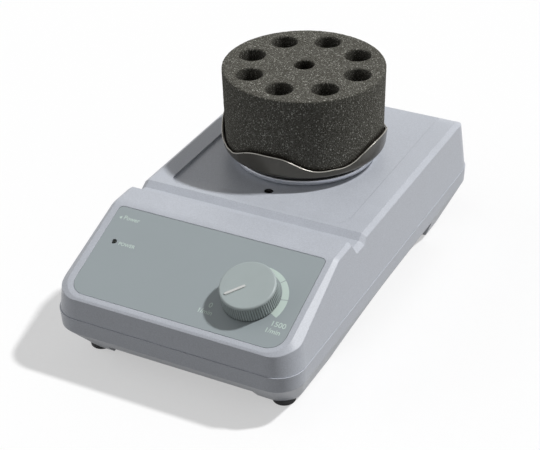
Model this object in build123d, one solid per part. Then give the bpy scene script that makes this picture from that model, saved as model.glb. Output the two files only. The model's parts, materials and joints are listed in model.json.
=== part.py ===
from math import atan2, cos, degrees, pi, radians, sin, tan
import os

from build123d import *

# Bench mixer: a small orbital shaker that carries a round foam tube holder.
# Millimetres. X points right seen from the front, -Y is the front, +Z is up.
# The origin lies under the middle of the housing, at the height of the feet.

# Housing, overall
body_width = 150.0
body_depth = 260.0
plan_radius = 16.0
seam_height = 32.0
seam_ledge = 0.4
wall = 2.5
side_draft = 0.104
back_draft = 0.06

# Housing, side profile of the upper shell
panel_angle = 21.4
bezel_front_y = -127.1
bezel_front_z = 45.2
ridge_height = 69.6
ridge_rear_y = -47.6
ridge_blend = 12.0
groove_front_y = -41.8
groove_rear_y = -34.0
groove_height = 62.1
deck_front_y = -29.8
deck_height = 64.9
back_round = 20.0

# Bevel that runs along both long edges, and the one round the front
bevel_inner_x = 68.4
bevel_drop = 2.4
bevel_run = 3.4
bevel_reach = 2.2
front_bevel_run = 2.1
front_bevel_drop = 0.75
bezel_corner = 13.0
bevel_cut_depth = 13.0
bevel_zone_front = -46.0
bevel_zone_rear = 26.0
bevel_zone_reach = 120.0

# Shallow recess in the deck
recess_left_x = -57.4
recess_right_x = 56.5
recess_front_y = -26.5
recess_ramp = 9.0
recess_depth = 1.6
recess_corner = 8.0
recess_front_step = 0.3

# Lower housing
skirt_break_height = 22.5
skirt_taper = 0.4
skirt_bottom_height = 3.0
skirt_side_inset = 8.7
skirt_front_inset = 17.2
skirt_back_inset = 26.5
skirt_front_height = 10.0
skirt_bottom_radius = 12.0
underside_radius = 10.0
arch_height = 19.5
arch_front_y = -72.0
arch_crown_y = 10.0
arch_rear_y = 66.0
foot_x = 58.0
foot_front_y = -106.0
foot_rear_y = 88.0
foot_radius = 6.5
foot_edge = 1.0
foot_seat_gap = 0.1
foot_boss_wall = 1.0
foot_boss_draft = 2.0
foot_skirt_margin = 6.0
foot_seat_depth = 1.0
foot_stem_radius = 2.5
foot_stem_length = 5.0

# Control panel, placed in the plane of the sloping front
overlay_width = 129.6
overlay_length = 61.9
overlay_centre_x = 0.3
overlay_thickness = 0.4
overlay_gap = 0.25
overlay_front_corner = 9.5
overlay_rear_corner = 3.0
overlay_pocket_depth = 0.45
overlay_margin = 2.8
knob_u = 36.0
knob_v = 27.2
led_u = -55.4
led_v = 37.8
led_radius = 1.5
led_collar = 0.5
led_gap = 0.1

# Speed knob
knob_base_radius = 16.2
knob_top_radius = 15.4
knob_height = 10.6
knob_gap = 0.6
knob_edge = 1.1
knob_ribs = 72
knob_rib_depth = 0.45
knob_skirt_wall = 1.8
knob_top_wall = 2.4
knob_hub_radius = 6.0
knob_nut_gap = 0.6
knob_rib_share = 0.45
knob_rib_margin = 0.5
pointer_angle = 225.0
pointer_start = 1.2
pointer_length = 11.6
pointer_width = 1.0
pointer_height = 0.5

# Potentiometer
pot_shaft_radius = 3.0
pot_bushing_radius = 3.5
pot_body_size = 17.0
pot_body_corner = 2.0
pot_body_height = 7.5
pot_nut_flats = 10.0
pot_nut_height = 2.0
pot_bushing_height = 3.6
pot_bushing_gap = 0.2
pot_bore_floor = 1.5
pot_shaft_flat = 1.5
pot_shaft_margin = 2.0

# Control board
board_thickness = 1.6
control_board_margin = 6.0
board_screw_inset = 3.5
board_screw_gap = 0.2
board_spacer_radius = 3.0
capacitor_radius = 3.0
capacitor_height = 5.5
capacitor_pitch = 9.0
capacitor_count = 3
chip_width = 14.0
chip_length = 8.0
chip_height = 2.0

# Orbital drive
drive_y = 43.0
orbit_radius = 2.25
orbit_phase = 180.0
motor_radius = 24.0
motor_height = 17.5
motor_boss_radius = 8.0
motor_shaft_radius = 3.0
motor_edge = 2.0
motor_base = 3.0
motor_end_play = 0.2
motor_screw_circle = 15.0
motor_screw_count = 4
motor_screw_phase = 45.0
motor_screw_head_radius = 2.4
motor_screw_head_height = 1.0
motor_screw_depth = 5.0
plate_height = 42.0
plate_thickness = 3.0
plate_half = 40.0
plate_corner = 8.0
post_offset = 33.0
post_radius = 4.5
post_screw_depth = 10.0
crank_radius = 11.0
crank_gap = 1.5
crank_thickness = 6.5
crank_pin_radius = 4.0
crank_screw_radius = 1.2
crank_screw_recess = 1.5
counterweight_radius = 18.0
counterweight_thickness = 4.0
idler_circle = 25.0
idler_count = 3
idler_phase = -90.0
idler_pin_radius = 2.5
idler_web_radius = 5.4
idler_web_thickness = 6.0
idler_end_gap = 0.3
bush_radius = 4.5
bush_flange_radius = 6.0
bush_flange = 1.2
running_fit = 0.05

# Orbiting platform
orbit_plate_radius = 33.5
orbit_plate_thickness = 8.8
deck_opening_radius = 38.0
main_bearing_radius = 9.5
main_bearing_height = 6.0
idler_bearing_radius = 6.5
idler_bearing_height = 4.0
bearing_groove = 0.3
bearing_ring_share = 0.25
platform_radius = 43.4
platform_gap = 0.5
platform_thickness = 2.5
platform_lip = 0.7
platform_lip_width = 1.0
platform_edge = 0.3
platform_band = 0.2
platform_band_height = 1.1
platform_screw_circle = 14.0
platform_screw_count = 3
platform_screw_phase = -30.0
platform_screw_depth = 6.0
platform_screw_head = 1.2
screw_head_gap = 0.2

# Tube attachment
riser_radius = 41.5
riser_thickness = 4.6
riser_edge = 0.8
dish_floor_radius = 48.9
dish_rim_radius = 50.4
dish_wall = 0.9
dish_floor = 1.5
dish_edge = 3.0
dish_tab_height = 85.0
dish_notch_height = 76.0
dish_notch_phase = 45.0
dish_notch_count = 4
dish_notch_half_width = 34.0
dish_notch_shoulder = 24.0
dish_notch_shoulder_drop = 2.2
dish_notch_flat = 10.0
dish_notch_flat_rise = 0.4
dish_screw_circle = 26.0
dish_screw_count = 3
dish_screw_phase = 30.0
foam_top_radius = 48.5
foam_bottom_radius = 47.6
foam_height = 48.8
foam_gap = 0.1
tube_radius = 8.0
tube_circle = 34.0
tube_count = 8
tube_phase = 1.5
centre_hole_radius = 6.0

# Steel ballast
ballast_thickness = 6.0
ballast_half_width = 60.0
ballast_gap = 8.0
ballast_corner = 5.0
ballast_screw_x = 40.0

# Supply board
power_board_gap = 3.0
power_board_side_gap = 5.0
power_board_front = -5.0
power_board_rear = 96.0
power_board_clearance = 5.0
power_screw_inset = 5.0
power_post_radius = 3.2
transformer_width = 20.0
transformer_length = 24.0
transformer_height = 18.0
transformer_y = 42.0
smoothing_cap_radius = 7.0
smoothing_cap_height = 20.0
smoothing_cap_y = 66.0
terminal_width = 16.0
terminal_length = 8.0
terminal_height = 9.0
terminal_front_y = 10.0
terminal_rear_y = 82.0

# Rear connectors
rear_pocket_width = 92.0
rear_pocket_bottom = 23.5
rear_pocket_top = 47.8
rear_face_y = 126.4
inlet_x = -26.0
inlet_z = 35.6
inlet_flange_width = 30.6
inlet_flange_height = 22.6
inlet_body_width = 27.0
inlet_body_height = 19.8
inlet_flange = 2.0
inlet_depth = 20.0
inlet_socket_width = 24.0
inlet_socket_height = 16.4
inlet_socket_depth = 17.0
inlet_socket_chamfer = 4.5
inlet_corner = 2.0
inlet_pin_width = 2.0
inlet_pin_height = 4.0
inlet_pin_pitch = 7.0
inlet_pin_drop = 2.0
inlet_pin_recess = 3.0
inlet_pin_tail = 4.0
switch_x = 10.0
switch_z = 39.4
switch_flange_width = 21.0
switch_flange_height = 14.2
switch_body_width = 19.0
switch_body_height = 12.4
switch_flange = 1.6
switch_depth = 14.0
switch_corner = 1.2
rocker_pivot_depth = 3.6
rocker_pin_radius = 1.0
rocker_pin_length = 0.7
rocker_pin_pocket = 1.1
rocker_crown = 5.2
rocker_back = 4.0
rocker_radius = 8.2
rocker_height = 10.2
rocker_throw = 16.0
rocker_gap = 0.25
fuse_x = 34.0
fuse_z = 39.4
fuse_radius = 5.6
fuse_flange_radius = 7.0
fuse_depth = 22.0
fuse_flange = 1.2
fuse_cap_height = 2.0
fuse_cap_gap = 0.4
fuse_slot_length = 9.0
fuse_slot_width = 1.6
fuse_slot_depth = 0.6

# Fasteners
screw_radius = 1.5
screw_head_radius = 2.8
screw_head_height = 2.0
screw_slot_width = 0.7
screw_slot_depth = 0.6
screw_tip_gap = 1.0
case_screw_x = 54.0
case_screw_front_y = -70.0
case_screw_rear_y = 106.0
case_screw_depth = 12.0
case_screw_seat = 5.0
case_head_gap = 0.3
case_boss_radius = 4.2
case_boss_sink = 0.5
deck_screw_y = -8.9
deck_screw_head_radius = 2.5
deck_screw_head_height = 1.4
deck_screw_head_gap = 0.25
deck_screw_seat = 1.0
deck_screw_depth = 12.0

# Reach of cutters past a surface, and overlap of solids that are fused
over = 1.0
sink = 0.1

# Heights that follow from the sizes above
recess_floor = deck_height - recess_depth
deck_underside = recess_floor - wall
floor_top = arch_height + wall
platform_bottom = recess_floor + platform_gap
platform_top = platform_bottom + platform_thickness
dish_bottom = platform_top + riser_thickness
foam_bottom = dish_bottom + dish_floor + foam_gap
foam_top = foam_bottom + foam_height
plate_top = plate_height + plate_thickness
crank_bottom = plate_top + crank_gap
crank_top = crank_bottom + crank_thickness
idler_web_bottom = plate_top + bush_flange + idler_end_gap
idler_web_top = idler_web_bottom + idler_web_thickness
orbit_plate_bottom = platform_bottom - orbit_plate_thickness
case_screw_seat_z = arch_height + case_screw_seat
deck_screw_seat_z = deck_underside + deck_screw_seat
panel_underside = -wall
board_top = panel_underside - pot_body_height
board_bottom = board_top - board_thickness
nut_bottom = overlay_thickness - overlay_pocket_depth
shaft_top = knob_height - pot_shaft_margin
rocker_pivot_y = rear_face_y - rocker_pivot_depth

# Places that follow from the sizes above
control_board_left = led_u - control_board_margin
control_board_right = knob_u + pot_body_size / 2 + control_board_margin / 2
control_board_front = knob_v - pot_body_size / 2 - control_board_margin / 4
control_board_rear = led_v + control_board_margin
power_board_left = plate_half + power_board_gap
power_board_right = body_width / 2 - wall - power_board_side_gap
power_board_bottom = floor_top + power_board_clearance
power_board_top = power_board_bottom + board_thickness
pin_x = orbit_radius * cos(radians(orbit_phase))
pin_y = drive_y + orbit_radius * sin(radians(orbit_phase))

os.makedirs("parts", exist_ok=True)


def disc(radius, z0, z1, x=0.0, y=0.0):
    """Upright cylinder between two heights."""
    return Pos(x, y, (z0 + z1) / 2) * Cylinder(radius, z1 - z0)


def block(x0, x1, y0, y1, z0, z1):
    """Box given by its two corners."""
    centre = Pos((x0 + x1) / 2, (y0 + y1) / 2, (z0 + z1) / 2)
    return centre * Box(x1 - x0, y1 - y0, z1 - z0)


def ring_places(count, radius, phase=0.0, x=0.0, y=0.0):
    """Points spread evenly on a circle."""
    angles = [radians(phase + 360.0 * i / count) for i in range(count)]
    return [(x + radius * cos(a), y + radius * sin(a)) for a in angles]


def save(node, shape):
    """Write one sub-part to its own file."""
    shape.label = node
    export_step(shape, f"parts/{node}.step")


# Control panel plane: u runs to the right, v up the slope, n out of the panel
slope = tan(radians(panel_angle))
panel_origin_y = bezel_front_y + overlay_margin * cos(radians(panel_angle))
panel_origin_z = bezel_front_z + overlay_margin * sin(radians(panel_angle))
panel = Plane(
    origin=(0, panel_origin_y, panel_origin_z),
    x_dir=(1, 0, 0),
    z_dir=(0, -sin(radians(panel_angle)), cos(radians(panel_angle))),
)


def panel_z(y):
    """Height of the sloping panel at a depth y."""
    return bezel_front_z + (y - bezel_front_y) * slope


def top_height(y):
    """Height of the upper shell's top at a depth y, leaving out the groove."""
    return min(panel_z(y), ridge_height) if y < ridge_rear_y else deck_height


def panel_disc(radius, n0, n1, u=knob_u, v=knob_v):
    """Cylinder square to the panel."""
    return panel * Pos(u, v, (n0 + n1) / 2) * Cylinder(radius, n1 - n0)


# Upper housing
def plan_section(z, inset):
    """Rounded rectangle of the drafted upper shell at one height."""
    rise = z - seam_height
    half = body_width / 2 - seam_ledge - side_draft * rise - inset
    front = -body_depth / 2 + seam_ledge + side_draft * rise + inset
    back = body_depth / 2 - seam_ledge - back_draft * rise - inset
    outline = RectangleRounded(2 * half, back - front, plan_radius - inset)
    return Pos(0, (front + back) / 2, z) * outline


def drafted_block(z0, z1, inset):
    return loft([plan_section(z0, inset), plan_section(z1, inset)], ruled=True)


def inset_outline(points, inset):
    """Move every side of a closed clockwise outline inwards by one distance."""
    moved = []
    for i, (y, z) in enumerate(points):
        before = points[i - 1]
        after = points[(i + 1) % len(points)]
        a_in = atan2(z - before[1], y - before[0])
        a_out = atan2(after[1] - z, after[0] - y)
        half_turn = (a_out - a_in) / 2
        normal = (a_in + a_out) / 2 - pi / 2
        if abs(half_turn) > pi / 2:
            half_turn -= pi * (1 if half_turn > 0 else -1)
            normal -= pi
        reach = inset / cos(half_turn)
        moved.append((y + reach * cos(normal), z + reach * sin(normal)))
    return moved


def side_outline():
    """Corners of the upper shell seen from the side, before its blends."""
    beyond_front = -body_depth / 2 - 2 * plan_radius
    ridge_front_y = bezel_front_y + (ridge_height - bezel_front_z) / slope
    base = seam_height - 4 * wall
    back_at_seam = body_depth / 2 - seam_ledge
    back_at_deck = back_at_seam - back_draft * (deck_height - seam_height)
    back_at_base = back_at_seam - back_draft * (base - seam_height)
    return [
        (beyond_front, base),
        (beyond_front, panel_z(beyond_front)),
        (ridge_front_y, ridge_height),
        (ridge_rear_y, ridge_height),
        (groove_front_y, groove_height),
        (groove_rear_y, groove_height),
        (deck_front_y, deck_height),
        (back_at_deck, deck_height),
        (back_at_base, base),
    ]


def side_face(x, inset):
    """Side profile at one x, all sides moved inwards, blends included."""
    corners = inset_outline(side_outline(), inset)
    flat = make_face(Polyline(*corners, close=True))
    for index, radius in ((2, ridge_blend), (7, back_round)):
        place = Vector(*corners[index])
        corner = flat.vertices().sort_by_distance(place)[0]
        flat = fillet(corner, radius - inset)
    return Plane(origin=(x, 0, 0), x_dir=(0, 1, 0), z_dir=(1, 0, 0)) * flat


def bevelled_profile():
    """Profile across the whole width, with its bevel along both long edges."""
    outer_x = bevel_inner_x + bevel_reach * bevel_run
    drop = bevel_drop * (outer_x - bevel_inner_x) / bevel_run
    middle = extrude(side_face(-bevel_inner_x, 0), amount=2 * bevel_inner_x)
    right = loft([side_face(bevel_inner_x, 0), side_face(outer_x, drop)], ruled=True)
    return middle + right + mirror(right, about=Plane.YZ)


def front_bevel_cut():
    """Material taken off round the front edge of the sloping panel."""
    def section(n):
        spread_u = bevel_run / bevel_drop * -n
        spread_v = front_bevel_run / front_bevel_drop * -n
        half = bevel_inner_x + spread_u
        front = -overlay_margin - spread_v
        outline = RectangleRounded(2 * half, bevel_zone_reach - front, bezel_corner - n)
        return panel * Pos(0, (front + bevel_zone_reach) / 2, n) * outline

    cap = loft([section(-bevel_cut_depth), section(over)], ruled=True)
    zone_middle = Pos(0, (bevel_zone_front + bevel_zone_rear) / 2, (over - bevel_cut_depth) / 2)
    zone = panel * zone_middle * Box(
        2 * body_width, bevel_zone_rear - bevel_zone_front, over + bevel_cut_depth)
    return zone - cap


def recess_cut():
    """Shallow recess that runs out over the back edge, with a faded front."""
    width = recess_right_x - recess_left_x
    centre_x = (recess_right_x + recess_left_x) / 2
    length = body_depth - recess_front_y
    outline = RectangleRounded(width, length, recess_corner)
    tall = extrude(Pos(centre_x, recess_front_y + length / 2, recess_floor) * outline, ridge_height)
    ramp_start = recess_front_y - over
    ramp = Plane.YZ * make_face(Polyline(
        (ramp_start, ridge_height),
        (ramp_start, deck_height - recess_front_step),
        (recess_front_y + recess_ramp, recess_floor),
        (body_depth, recess_floor),
        (body_depth, ridge_height),
        close=True,
    ))
    return tall & extrude(ramp, amount=body_width, both=True)


def case_screw_places():
    return [(sx * case_screw_x, y) for sx in (-1, 1) for y in (case_screw_front_y, case_screw_rear_y)]


def rear_block(x, z, width, height, y0, y1):
    """Box centred on a connector, between two depths."""
    return block(x - width / 2, x + width / 2, y0, y1, z - height / 2, z + height / 2)


def rear_disc(radius, y0, y1):
    """Cylinder on the fuse holder's axis, between two depths."""
    return Pos(fuse_x, (y0 + y1) / 2, fuse_z) * Rot(90, 0, 0) * Cylinder(radius, y1 - y0)


def rear_cut():
    """Openings for inlet, switch and fuse in the rear face."""
    y0, y1 = rear_face_y - 3 * wall, rear_face_y + over
    cuts = rear_block(inlet_x, inlet_z, inlet_body_width, inlet_body_height, y0, y1)
    cuts += rear_block(switch_x, switch_z, switch_body_width, switch_body_height, y0, y1)
    return cuts + rear_disc(fuse_radius, y0, y1)


def rear_pocket():
    half = rear_pocket_width / 2
    return block(-half, half, rear_face_y, body_depth / 2 + over, rear_pocket_bottom, rear_pocket_top)


def rear_pad(z0, z1):
    """Thicker wall behind the rear pocket."""
    half = rear_pocket_width / 2 + wall
    return block(-half, half, rear_face_y - wall, body_depth / 2 - wall, z0, z1)


def overlay_outline(shrink):
    """Outline of the printed film, with large front and small rear corners."""
    width = overlay_width - 2 * shrink
    length = overlay_length - 2 * shrink
    flat = Pos(overlay_centre_x, overlay_length / 2) * Rectangle(width, length)
    front = flat.vertices().group_by(Axis.Y)[0]
    flat = fillet(front, overlay_front_corner - shrink)
    rear = flat.vertices().group_by(Axis.Y)[-1]
    return fillet(rear, overlay_rear_corner - shrink)


def make_upper_housing():
    top = ridge_height + wall
    outer = drafted_block(seam_height, top, 0) & bevelled_profile()
    outer -= front_bevel_cut()
    inner_profile = extrude(side_face(-body_width, wall), amount=2 * body_width)
    cavity = drafted_block(seam_height - over, top, wall) & inner_profile
    shell = outer - cavity
    pad = block(recess_left_x - wall, recess_right_x + wall, recess_front_y - wall,
                case_screw_rear_y, deck_underside, deck_height - wall + sink)
    shell += pad + rear_pad(seam_height, rear_pocket_top + wall)
    for x, y in case_screw_places():
        boss_top = top_height(y) - wall + case_boss_sink
        shell += disc(case_boss_radius, seam_height, boss_top, x, y)
        shell -= disc(screw_radius, seam_height, seam_height + case_screw_depth, x, y)
    shell -= recess_cut()
    shell -= disc(deck_opening_radius, deck_underside - over, deck_height, 0, drive_y)
    deck_head_hole = deck_screw_head_radius + deck_screw_head_gap
    shell -= disc(deck_head_hole, deck_screw_seat_z, deck_height, 0, deck_screw_y)
    shell -= disc(screw_radius, deck_underside - over, deck_height, 0, deck_screw_y)
    shell -= rear_pocket()
    shell -= rear_cut()
    shell -= panel * extrude(Pos(0, 0, -overlay_pocket_depth) * overlay_outline(0), wall)
    shell -= panel_disc(pot_bushing_radius + pot_bushing_gap, -2 * wall, over)
    shell -= panel_disc(led_radius + led_gap, -2 * wall, over, led_u, led_v)
    return shell


# Lower housing
def skirt_section(z, side, front, back, radius):
    """Rounded rectangle of the lower shell, inset differently on each side."""
    y0 = -body_depth / 2 + front
    y1 = body_depth / 2 - back
    return Pos(0, (y0 + y1) / 2, z) * RectangleRounded(body_width - 2 * side, y1 - y0, radius)


def foot_places():
    return [(sx * foot_x, y) for sx in (-1, 1) for y in (foot_front_y, foot_rear_y)]


def post_places():
    """Four posts that carry the bearing plate."""
    return [(sx * post_offset, drive_y + sy * post_offset) for sx in (-1, 1) for sy in (-1, 1)]


def arch_cut():
    """Long arch that lifts the skirt between the front and rear feet."""
    mid_y = (arch_front_y + arch_crown_y) / 2
    span = arch_crown_y - arch_front_y
    radius = (span ** 2 + arch_height ** 2) / (2 * arch_height)
    mid_z = arch_height - (radius - (radius ** 2 - (span / 2) ** 2) ** 0.5)
    arc = ThreePointArc((arch_front_y, 0), (mid_y, mid_z), (arch_crown_y, arch_height))
    rest = Polyline((arch_crown_y, arch_height), (arch_rear_y, arch_height),
                    (arch_rear_y + arch_height / 2, 0), (arch_rear_y + arch_height / 2, -over),
                    (arch_front_y, -over), (arch_front_y, 0))
    face = Plane.YZ * make_face(arc + rest)
    return extrude(face, amount=body_width, both=True)


def make_lower_housing():
    upper_band = loft([
        skirt_section(seam_height, 0, 0, 0, plan_radius),
        skirt_section(skirt_break_height, skirt_taper, skirt_taper, skirt_taper, plan_radius),
    ], ruled=True)
    lower_band = loft([
        skirt_section(skirt_break_height, skirt_taper, skirt_taper, skirt_taper, plan_radius),
        skirt_section(skirt_bottom_height, skirt_side_inset, skirt_front_inset,
                      skirt_back_inset, skirt_bottom_radius),
    ], ruled=True)
    shell = upper_band + lower_band
    shell -= arch_cut()
    inner_x = body_width / 2 - skirt_side_inset - wall
    inner_front = -body_depth / 2 + skirt_front_inset + wall
    inner_back = body_depth / 2 - skirt_back_inset - wall
    gap_half = foot_x - foot_radius - foot_skirt_margin
    shell -= block(-gap_half, gap_half, -body_depth, body_depth, -over, skirt_front_height)
    underside = Pos(0, (inner_front + inner_back) / 2, -over) * RectangleRounded(
        2 * inner_x, inner_back - inner_front, underside_radius)
    pocket = extrude(underside, arch_height + over)
    for x, y in foot_places():
        boss = Pos(x, y, (skirt_bottom_height + arch_height) / 2) * Cone(
            foot_radius + foot_boss_wall, foot_radius + foot_boss_wall + foot_boss_draft,
            arch_height - skirt_bottom_height)
        pocket -= boss
    shell -= pocket
    inner = Pos(0, 0, floor_top) * RectangleRounded(
        body_width - 2 * (wall + skirt_taper), body_depth - 2 * (wall + skirt_taper), plan_radius - wall)
    shell -= extrude(inner, seam_height)
    shell += rear_pad(floor_top, seam_height)
    for x, y in case_screw_places():
        shell += disc(case_boss_radius, floor_top, seam_height, x, y)
        shell -= disc(screw_head_radius + case_head_gap, -over, case_screw_seat_z, x, y)
        shell -= disc(screw_radius, 0, seam_height + over, x, y)
    for x, y in post_places():
        shell += disc(post_radius, floor_top, plate_height, x, y)
        shell -= disc(screw_radius, plate_height - post_screw_depth, plate_height + over, x, y)
    shell += disc(post_radius, floor_top, deck_underside, 0, deck_screw_y)
    shell -= disc(screw_radius, deck_underside - deck_screw_depth, deck_underside + over, 0, deck_screw_y)
    for x, y in foot_places():
        shell -= disc(foot_radius + foot_seat_gap, -over, skirt_bottom_height + foot_seat_depth, x, y)
        shell -= disc(foot_stem_radius, 0, skirt_bottom_height + foot_seat_depth + foot_stem_length, x, y)
    shell -= rear_pocket()
    shell -= rear_cut()
    return shell


def make_rubber_feet():
    seat = skirt_bottom_height + foot_seat_depth
    feet = []
    for x, y in foot_places():
        pad = disc(foot_radius, 0, seat, x, y)
        pad = fillet(pad.edges().group_by(Axis.Z)[0], foot_edge)
        feet.append(pad + disc(foot_stem_radius, seat, seat + foot_stem_length, x, y))
    return Compound(children=feet)


def screw_slot(x, y, z):
    return Pos(x, y, z) * Box(2 * screw_radius, screw_slot_width, 2 * screw_slot_depth)


def hanging_screw(x, y, seat, tip, head_radius=screw_head_radius, head_height=screw_head_height):
    """Pan head screw that enters from above."""
    head = disc(head_radius, seat, seat + head_height, x, y)
    return head + disc(screw_radius, tip, seat, x, y) - screw_slot(x, y, seat + head_height)


def make_housing_screws():
    screws = []
    for x, y in case_screw_places():
        seat = case_screw_seat_z
        head = disc(screw_head_radius, seat - screw_head_height, seat, x, y)
        shank = disc(screw_radius, seat, seam_height + case_screw_depth - screw_tip_gap, x, y)
        screws.append(head + shank - screw_slot(x, y, seat - screw_head_height))
    return Compound(children=screws)


# Control panel parts
def make_overlay():
    film = extrude(overlay_outline(overlay_gap), overlay_thickness)
    film = panel * Pos(0, 0, -overlay_pocket_depth) * film
    film -= panel_disc(pot_bushing_radius + pot_bushing_gap, -over, over)
    film -= panel_disc(led_radius + led_gap, -over, over, led_u, led_v)
    return film


def make_power_led():
    """Domed lamp on a long stem that reaches up to the film."""
    stem = disc(led_radius, board_top, -led_radius)
    dome = Pos(0, 0, -led_radius) * Sphere(led_radius)
    collar = disc(led_radius + led_collar, board_top, panel_underside)
    return panel * Pos(led_u, led_v) * (stem + dome + collar)


def control_screw_places():
    us = (control_board_left + board_screw_inset, control_board_right - board_screw_inset)
    vs = (control_board_front + board_screw_inset, control_board_rear - board_screw_inset)
    return [(us[0], vs[0]), (us[1], vs[1])]


def make_control_board():
    """Circuit board under the panel, with a driver chip and its capacitors."""
    width = control_board_right - control_board_left
    length = control_board_rear - control_board_front
    mid_u = (control_board_left + control_board_right) / 2
    mid_v = (control_board_front + control_board_rear) / 2
    board = Pos(mid_u, mid_v, (board_top + board_bottom) / 2) * Box(width, length, board_thickness)
    for i in range(capacitor_count):
        u = mid_u - (i + 1) * capacitor_pitch
        board += disc(capacitor_radius, board_top, board_top + capacitor_height, u, led_v)
    board += Pos(mid_u - chip_width, knob_v, board_top + chip_height / 2) * Box(
        chip_width, chip_length, chip_height)
    for u, v in control_screw_places():
        board -= disc(screw_radius + board_screw_gap, board_bottom - over, board_top + over, u, v)
    return panel * board


def make_board_spacers():
    """Sleeves that hold the control board off the panel."""
    sleeves = []
    for u, v in control_screw_places():
        sleeve = disc(board_spacer_radius, board_top, panel_underside, u, v)
        sleeve -= disc(screw_radius, board_top - over, panel_underside + over, u, v)
        sleeves.append(panel * sleeve)
    return Compound(children=sleeves)


def make_board_screws():
    screws = []
    for u, v in control_screw_places():
        head = disc(screw_head_radius, board_bottom - screw_head_height, board_bottom, u, v)
        shank = disc(screw_radius, board_bottom, panel_underside, u, v)
        screws.append(panel * (head + shank))
    return Compound(children=screws)


def make_potentiometer():
    """Housing and threaded bushing of the speed control."""
    size = pot_body_size
    body = Pos(knob_u, knob_v, (board_top + panel_underside) / 2) * Box(size, size, pot_body_height)
    body = panel * fillet(body.edges().filter_by(Axis.Z), pot_body_corner)
    body += panel_disc(pot_bushing_radius, panel_underside, pot_bushing_height)
    body -= panel_disc(pot_shaft_radius + running_fit, board_top + pot_bore_floor, pot_bushing_height + over)
    return body


def make_pot_nut():
    hexagon = RegularPolygon(pot_nut_flats / 2, 6, major_radius=False)
    nut = panel * Pos(knob_u, knob_v, nut_bottom) * extrude(hexagon, pot_nut_height)
    return nut - panel_disc(pot_bushing_radius, nut_bottom - over, nut_bottom + pot_nut_height + over)


def shaft_section(radius):
    """Round shaft with a flat on one side."""
    cut = Pos(0, pot_shaft_flat + radius) * Rectangle(4 * radius, 2 * radius)
    return Circle(radius) - cut


def make_pot_shaft():
    bottom = board_top + pot_bore_floor + pot_bushing_gap
    round_part = panel_disc(pot_shaft_radius, bottom, pot_bushing_height)
    flatted = extrude(shaft_section(pot_shaft_radius), shaft_top - pot_bushing_height)
    return round_part + panel * Pos(knob_u, knob_v, pot_bushing_height) * flatted


def make_speed_knob():
    """Cap with a fine ribbed skirt, hollow below, with a raised pointer."""
    bottom, top = knob_gap, knob_height
    hub_bottom = pot_bushing_height + knob_nut_gap
    inner_top = top - knob_top_wall
    profile = make_face(Polyline(
        (0, top), (knob_top_radius, top),
        (knob_base_radius, bottom), (knob_base_radius - knob_skirt_wall, bottom),
        (knob_top_radius - knob_skirt_wall, inner_top), (knob_hub_radius, inner_top),
        (knob_hub_radius, hub_bottom), (0, hub_bottom), close=True))
    rim = profile.vertices().sort_by_distance(Vector(knob_top_radius, top))[0]
    cap = revolve(Plane.XZ * fillet(rim, knob_edge), Axis.Z)
    cap -= knob_grooves(bottom, top - knob_edge - knob_rib_margin)
    rib = Box(pointer_length, pointer_width, 2 * pointer_height)
    rib = Pos(pointer_start + pointer_length / 2, 0, top) * rib
    cap += Rot(0, 0, pointer_angle) * rib
    bore = extrude(shaft_section(pot_shaft_radius), shaft_top - pot_bushing_height)
    cap -= Pos(0, 0, pot_bushing_height) * bore
    return panel * Pos(knob_u, knob_v) * cap


def knob_grooves(bottom, top):
    """Narrow grooves between the ribs, which lean with the skirt."""
    pitch = 360.0 / knob_ribs
    width = knob_rib_share * knob_base_radius * radians(pitch)
    lean = degrees(atan2(knob_base_radius - knob_top_radius, knob_height - knob_gap))
    middle = (bottom + top) / 2
    radius = knob_base_radius - (middle - knob_gap) * tan(radians(lean))
    reach = width / 2 ** 0.5
    groove = Rot(0, 0, 45) * Box(width, width, top - bottom)
    groove = Pos(radius + reach - knob_rib_depth, 0, middle) * Rot(0, -lean, 0) * groove
    return [Rot(0, 0, i * pitch) * groove for i in range(knob_ribs)]


# Orbital drive
def idler_places(x, y):
    """Idler axes round a centre, in the case or in the orbiting plate."""
    return ring_places(idler_count, idler_circle, idler_phase, x, y)


def motor_screw_places():
    return ring_places(motor_screw_count, motor_screw_circle, motor_screw_phase, 0, drive_y)


def make_motor():
    """Flat brushless motor that hangs below the bearing plate."""
    can = disc(motor_radius, plate_height - motor_height, plate_height, 0, drive_y)
    can = fillet(can.edges().group_by(Axis.Z)[0], motor_edge)
    can += disc(motor_boss_radius, plate_height, plate_top, 0, drive_y)
    bore_bottom = plate_height - motor_height + motor_base
    can -= disc(motor_shaft_radius + running_fit, bore_bottom, plate_top + over, 0, drive_y)
    for x, y in motor_screw_places():
        can -= disc(screw_radius, plate_height - motor_screw_depth, plate_height + over, x, y)
    return can


def make_motor_shaft():
    bottom = plate_height - motor_height + motor_base + motor_end_play
    return disc(motor_shaft_radius, bottom, crank_top, 0, drive_y)


def make_bearing_plate():
    flat = RectangleRounded(2 * plate_half, 2 * plate_half, plate_corner)
    plate = Pos(0, drive_y, plate_height) * extrude(flat, plate_thickness)
    holes = [(motor_boss_radius, [(0, drive_y)]), (bush_radius, idler_places(0, drive_y)),
             (screw_radius, post_places() + motor_screw_places())]
    for radius, places in holes:
        for x, y in places:
            plate -= disc(radius, plate_height - over, plate_top + over, x, y)
    return plate


def make_plate_screws():
    tip = plate_height - post_screw_depth + screw_tip_gap
    return Compound(children=[hanging_screw(x, y, plate_top, tip) for x, y in post_places()])


def make_motor_screws():
    tip = plate_height - motor_screw_depth + screw_tip_gap
    screws = [hanging_screw(x, y, plate_top, tip, motor_screw_head_radius, motor_screw_head_height)
              for x, y in motor_screw_places()]
    return Compound(children=screws)


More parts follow.
